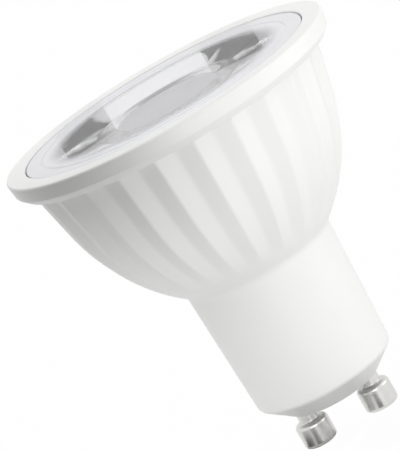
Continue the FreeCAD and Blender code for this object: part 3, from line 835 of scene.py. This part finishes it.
@dataclass
class Lens:
    """The solid clear lens in the rim: a flat front with a fine groove, a flange, and a bowed cone
    with a domed foot.
    """

    top: float = 48.8
    radius: float = 21.75
    flange_thick: float = 2.0
    flange_edge: float = 0.1
    front_edge: float = 0.15
    cone_top: float = 18.5
    cone_edge: float = 0.15
    cone_rows: int = 25
    foot_rad: float = 11.2
    foot: float = 41.75
    foot_edge: float = 0.12
    bow: float = 0.1
    dome_rad: float = 8.0
    dome_crown: float = 0.6
    dome_step: float = 0.006
    groove_rad: float = 19.2
    groove_wide: float = 0.5
    groove_deep: float = 0.12
    groove_edge: float = 0.05
    columns: int = 256

    def cone(self, gap: float = 0.0) -> np.ndarray:
        """The cone from foot to flange: a straight line plus a bow of 4 t (1 - t) across it, moved
        out by a gap.

        Args:
            gap: how far outside the lens the line lies.

        Returns:
            The line's (radius, height) points.
        """
        start = np.array([self.foot_rad, self.foot])
        end = np.array([self.cone_top, self.top - self.flange_thick])
        along = np.linspace(0.0, 1.0, self.cone_rows)[:, None]
        run = unit(end - start)
        out = np.array([run[1], -run[0]])
        return start + (end - start) * along + out * (gap + self.bow * 4 * along * (1 - along))

    def outline(self) -> np.ndarray:
        """The lens's closed outline from the dome's top, round the outside, to the front's middle.

        Returns:
            The outline's (radius, height) points.
        """
        sphere = (self.dome_rad ** 2 + self.dome_crown ** 2) / (2 * self.dome_crown)
        reach = math.asin(self.dome_rad / sphere)
        centre = (0.0, self.foot + self.dome_crown - sphere)
        dome = arc(centre, sphere, math.pi / 2, math.pi / 2 - reach, self.dome_step)
        cone = self.cone()
        foot = rounded([
            (*dome[-1], 0.0),
            (self.foot_rad, self.foot, self.foot_edge),
            (*cone[SPARE_ROWS - 1], 0.0),
        ])
        seat = self.top - self.flange_thick
        half = self.groove_wide / 2
        flange = rounded([
            (*cone[-SPARE_ROWS], 0.0),
            (self.cone_top, seat, self.cone_edge),
            (self.radius, seat, self.flange_edge),
            (self.radius, self.top, self.front_edge),
            (self.groove_rad + half, self.top, self.groove_edge),
            (self.groove_rad, self.top - self.groove_deep, self.groove_edge),
            (self.groove_rad - half, self.top, self.groove_edge),
            (0.0, self.top, 0.0),
        ])
        return np.concatenate([dome, foot[1:], cone[SPARE_ROWS:-SPARE_ROWS], flange])

    def build(self) -> None:
        """Carries the outline round the axis."""
        shape = lathe(self.outline(), self.columns)
        make_piece("lens_moulding", "lens", shape, Finishes.LENS)


@dataclass
class Cup:
    """The spun cup under the lens: a foot flange, a well for the light board, and a mirror round
    the lens's cone.
    """

    lens: Lens
    foot: float = 32.95
    foot_rad: float = 17.38
    foot_edge: float = 0.2
    floor_thick: float = 1.2
    floor_edge: float = 0.3
    wall: float = 1.0
    bend_edge: float = 0.5
    mouth_edge: float = 0.1
    well_edge: float = 0.4
    gap: float = 0.25
    columns: int = 256

    def build(self) -> None:
        """Carries the cup's outline round the axis."""
        mirror = self.lens.cone(self.gap)[::-1]
        (mouth, top), (well, bend) = mirror[0], mirror[-1]
        floor = self.foot + self.floor_thick
        outside = rounded([
            (0.0, self.foot, 0.0),
            (self.foot_rad, self.foot, self.foot_edge),
            (self.foot_rad, floor, self.foot_edge),
            (well + self.wall, floor, self.floor_edge),
            (well + self.wall, bend - self.wall / 2, self.bend_edge),
            (mouth + self.wall, top, self.mouth_edge),
            (mouth, top, self.mouth_edge),
            (*mirror[SPARE_ROWS - 1], 0.0),
        ])
        inside = rounded([
            (*mirror[-SPARE_ROWS], 0.0),
            (well, bend, self.well_edge),
            (well, floor, self.floor_edge),
            (0.0, floor, 0.0),
        ])
        outline = np.concatenate([outside, mirror[SPARE_ROWS:-SPARE_ROWS], inside])
        shape = lathe(outline, self.columns)
        make_piece("cup_mirror", "heat_sink_cup", shape, Finishes.MIRROR)


@dataclass
class ContactPin:
    """One turned pin: a wide round head, a neck through the floor, and a collar with a post."""

    hand: str
    across: float
    neck_dia: float = 3.0
    neck_length: float = 2.0
    neck_edge: float = 0.15
    head_dia: float = 5.0
    head_length: float = 3.7
    head_edge: float = 0.6
    floor_thick: float = 2.0
    floor_edge: float = 0.05
    collar_dia: float = 4.2
    collar_thick: float = 0.8
    collar_edge: float = 0.1
    post_dia: float = 2.0
    post_length: float = 1.4
    post_edge: float = 0.2
    columns: int = 96

    def build(self) -> None:
        """Carries the pin's outline round its own axis."""
        tip = -self.neck_length - self.head_length
        collar = self.floor_thick + self.collar_thick
        outline = rounded([
            (0.0, tip, 0.0),
            (self.head_dia / 2, tip, self.head_edge),
            (self.head_dia / 2, -self.neck_length, self.head_edge),
            (self.neck_dia / 2, -self.neck_length, self.neck_edge),
            (self.neck_dia / 2, self.floor_thick, self.floor_edge),
            (self.collar_dia / 2, self.floor_thick, self.collar_edge),
            (self.collar_dia / 2, collar, self.collar_edge),
            (self.post_dia / 2, collar, self.collar_edge),
            (self.post_dia / 2, collar + self.post_length, self.post_edge),
            (0.0, collar + self.post_length, 0.0),
        ])
        shape = lathe(outline, self.columns, self.across)
        name, node = f"turned_pin_{self.hand}", f"contact_pin_{self.hand}"
        make_piece(name, node, shape, Finishes.PIN)


class Inside:
    """The pieces under the lens and in the neck, which keep their CAD shapes."""

    @staticmethod
    def dress() -> None:
        """Gives each CAD node that still shows the finish of its slot."""
        made = {slot: finish.material() for slot, finish in Finishes.INNER.items()}
        for row in frame["record"]["subparts"]:
            node, slot = row["node"], row["material_slot"]
            if slot in made:
                mesh = frame["nodes"][node].data
                mesh.materials.clear()
                mesh.materials.append(made[slot])
                LOG.info("%s wears %s", node, made[slot].name)


# The stage

@dataclass(frozen=True)
class SideCard:
    """An upright card near the lamp that keeps light off it or shows in its lens.

    Its turn about the lamp's axis is in degrees from the viewer's side. Its height and reach are
    those of its middle, and its sides are its width and its size along the axis.
    """

    turn: float
    height: float
    reach: float
    sides: Place
    finish: Finish
    mirrored: bool = True


@dataclass(frozen=True)
class FloorCard:
    """A wedge of felt on the floor beside each pin, which the polished pin mirrors as a stripe.

    Its turn is in degrees from the viewer's side, and its spread is half its angle.
    """

    turn: float
    spread: float
    finish: Finish
    near: float = 3.5
    far: float = 19.0
    lift: float = 0.02


@dataclass(frozen=True)
class SoftBox:
    """A square lamp that faces the object's middle, with its turn and lift in degrees."""

    name: str
    turn: float
    lift: float
    watts: float
    reach: float = 150.0
    side: float = 90.0
    middle: float = 25.0


@dataclass
class Studio:
    """Floor, cards, lights, world and camera. The camera's angles, and the pixel of the front
    face's centre, are read from the photo.
    """

    UP: ClassVar[np.ndarray] = np.array([0.0, 0.0, 1.0])
    SIDE_CARDS: ClassVar[tuple[SideCard, ...]] = (
        SideCard(-47.0, 55.0, 47.0, (74.0, 44.0), Finishes.DARK_CARD, mirrored=False),
        SideCard(159.0, 53.7, 34.4, (8.8, 4.8), Finishes.GREY_CARD),
        SideCard(201.0, 53.7, 34.4, (8.8, 4.8), Finishes.GREY_CARD),
    )
    FLOOR_CARDS: ClassVar[tuple[FloorCard, ...]] = (
        FloorCard(-14.0, 14.0, Finishes.DARK_CARD),
        FloorCard(-66.0, 24.0, Finishes.PALE_CARD),
    )
    SOFT_BOXES: ClassVar[tuple[SoftBox, ...]] = (
        SoftBox("front", 0.0, -15.0, 0.094),
        SoftBox("right", 80.0, -5.0, 0.047),
    )

    image: tuple[int, int] = (400, 451)
    roll: float = 30.18
    tilt: float = 12.59
    spin: float = -1.79
    front_pixel: Place = (162.33, 93.41)
    pixels_per_mm: float = 7.248
    distance: float = 500.0
    sensor: float = 36.0
    clip_metres: Place = (0.01, 20.0)
    floor_height: float = -5.7
    floor_half: float = 900.0

    def axes(self) -> np.ndarray:
        """The lamp's X, Y and Z axes as the camera sees them, in columns: right, down and away.

        Returns:
            A 3 by 3 array with one axis in each row.
        """
        roll, tilt, spin = (math.radians(angle) for angle in (self.roll, self.tilt, self.spin))
        flat = math.cos(tilt)
        down_axis = np.array([flat * math.sin(roll), flat * math.cos(roll), math.sin(tilt)])
        side = np.array([math.cos(roll), -math.sin(roll), 0.0])
        near = np.cross(down_axis, side)
        x_axis = math.cos(spin) * side + math.sin(spin) * near
        return np.stack([x_axis, np.cross(-down_axis, x_axis), -down_axis])

    def camera(self, front: float) -> None:
        """Places the camera where the photo was taken from.

        Args:
            front: the front face's height, in millimetres.
        """
        axes = self.axes()
        offset = (np.array(self.front_pixel) - np.array(self.image) / 2) / self.pixels_per_mm
        eye = -axes @ np.array([*offset, self.distance]) + front * self.UP
        data = bpy.data.cameras.new("camera")
        data.sensor_width = self.sensor
        data.lens = self.pixels_per_mm * self.distance / max(self.image) * self.sensor
        data.clip_start, data.clip_end = self.clip_metres
        camera = bpy.data.objects.new("camera", data)
        pose = np.eye(4)
        pose[:3] = np.stack([axes[:, 0], -axes[:, 1], -axes[:, 2], eye * MM], axis=1)
        camera.matrix_world = Matrix(pose.tolist())
        bpy.context.scene.collection.objects.link(camera)
        bpy.context.scene.camera = camera

    def way(self, turn: float, lift: float = 0.0) -> np.ndarray:
        """A direction from the lamp: turned about its axis from the viewer's side, lifted towards
        the lens.

        Args:
            turn: the turn to the viewer's right, in degrees.
            lift: the lift, in degrees.

        Returns:
            The direction.
        """
        viewer = -self.axes()[:, 2]
        angle = math.atan2(viewer[1], viewer[0]) + math.radians(turn)
        rise = math.radians(lift)
        level = math.cos(rise)
        return np.array([level * math.cos(angle), level * math.sin(angle), math.sin(rise)])

    def light(self, box: SoftBox) -> None:
        """Hangs a soft box, out of the camera's sight.

        Args:
            box: its place, size and power.
        """
        way = self.way(box.turn, box.lift)
        data = bpy.data.lights.new(box.name, "AREA")
        data.shape = "SQUARE"
        data.size = box.side * MM
        data.energy = box.watts
        lamp = bpy.data.objects.new(box.name, data)
        lamp.location = Vector((way * box.reach + self.UP * box.middle) * MM)
        lamp.rotation_mode = "QUATERNION"
        lamp.rotation_quaternion = Vector(way).to_track_quat("Z", "Y")
        lamp.visible_camera = False
        bpy.context.scene.collection.objects.link(lamp)

    @staticmethod
    def sheet(name: str, corners: np.ndarray, finish: Finish) -> bpy.types.Object:
        """Puts a flat sheet on the stage.

        Args:
            name: the sheet's name.
            corners: its four corners in order, in millimetres.
            finish: the finish that it wears.

        Returns:
            The sheet.
        """
        mesh = bpy.data.meshes.new(name)
        mesh.from_pydata((corners * MM).tolist(), [], [(0, 1, 2, 3)])
        mesh.materials.append(finish.material())
        sheet = bpy.data.objects.new(name, mesh)
        bpy.context.scene.collection.objects.link(sheet)
        return sheet

    def stand(self, card: SideCard) -> None:
        """Stands a side card up, out of the camera's sight.

        Args:
            card: its place, sides and finish.
        """
        out = self.way(card.turn)
        along = np.cross(self.UP, out) * card.sides[0] / 2
        up = self.UP * card.sides[1] / 2
        middle = out * card.reach + self.UP * card.height
        corners = middle + np.array([-along - up, along - up, along + up, up - along])
        sheet = self.sheet("side_card", corners, card.finish)
        sheet.visible_camera = False
        sheet.visible_glossy = card.mirrored

    def lay(self, card: FloorCard) -> None:
        """Lays a floor card beside each pin, out of the camera's sight.

        Args:
            card: its direction, angle and finish.
        """
        out = self.way(card.turn)
        along = np.cross(self.UP, out) * math.tan(math.radians(card.spread))
        wedge = np.array([card.near * (out - along), card.far * (out - along),
                          card.far * (out + along), card.near * (out + along)])
        for across in PIN_PLACES.values():
            foot = np.array([across, 0.0, self.floor_height + card.lift])
            self.sheet("floor_card", foot + wedge, card.finish).visible_camera = False

    @staticmethod
    def world() -> None:
        """A white surround that lights the object evenly."""
        world = bpy.data.worlds.new("surround")
        bpy.context.scene.world = world
        world.use_nodes = True
        graph = Graph(world.node_tree)
        white = graph.out("ShaderNodeBackground", {"Color": WHITE, "Strength": 1.0})
        graph.node("ShaderNodeOutputWorld", {"Surface": white})

    def floor(self) -> None:
        """Lays the floor under the pins."""
        signs = np.array([[-1, -1], [1, -1], [1, 1], [-1, 1]])
        heights = np.full((len(signs), 1), self.floor_height)
        self.sheet("floor", np.hstack([signs * self.floor_half, heights]), Finishes.FLOOR)

    def build(self, front: float) -> None:
        """Sets the stage.

        Args:
            front: the front face's height, in millimetres.
        """
        bpy.context.scene.view_settings.view_transform = "Standard"
        self.world()
        self.floor()
        for side_card in self.SIDE_CARDS:
            self.stand(side_card)
        for floor_card in self.FLOOR_CARDS:
            self.lay(floor_card)
        for box in self.SOFT_BOXES:
            self.light(box)
        self.camera(front)


def main() -> None:
    """Builds the lamp's pieces in order, then the stage."""
    logging.basicConfig(level=logging.INFO, format="%(name)s: %(message)s")
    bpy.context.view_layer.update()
    housing = Housing()
    housing.build()
    lens = Lens()
    lens.build()
    Cup(lens).build()
    for hand, across in PIN_PLACES.items():
        ContactPin(hand, across).build()
    Inside.dress()
    Studio().build(housing.height)


if __name__ == "__main__":
    main()
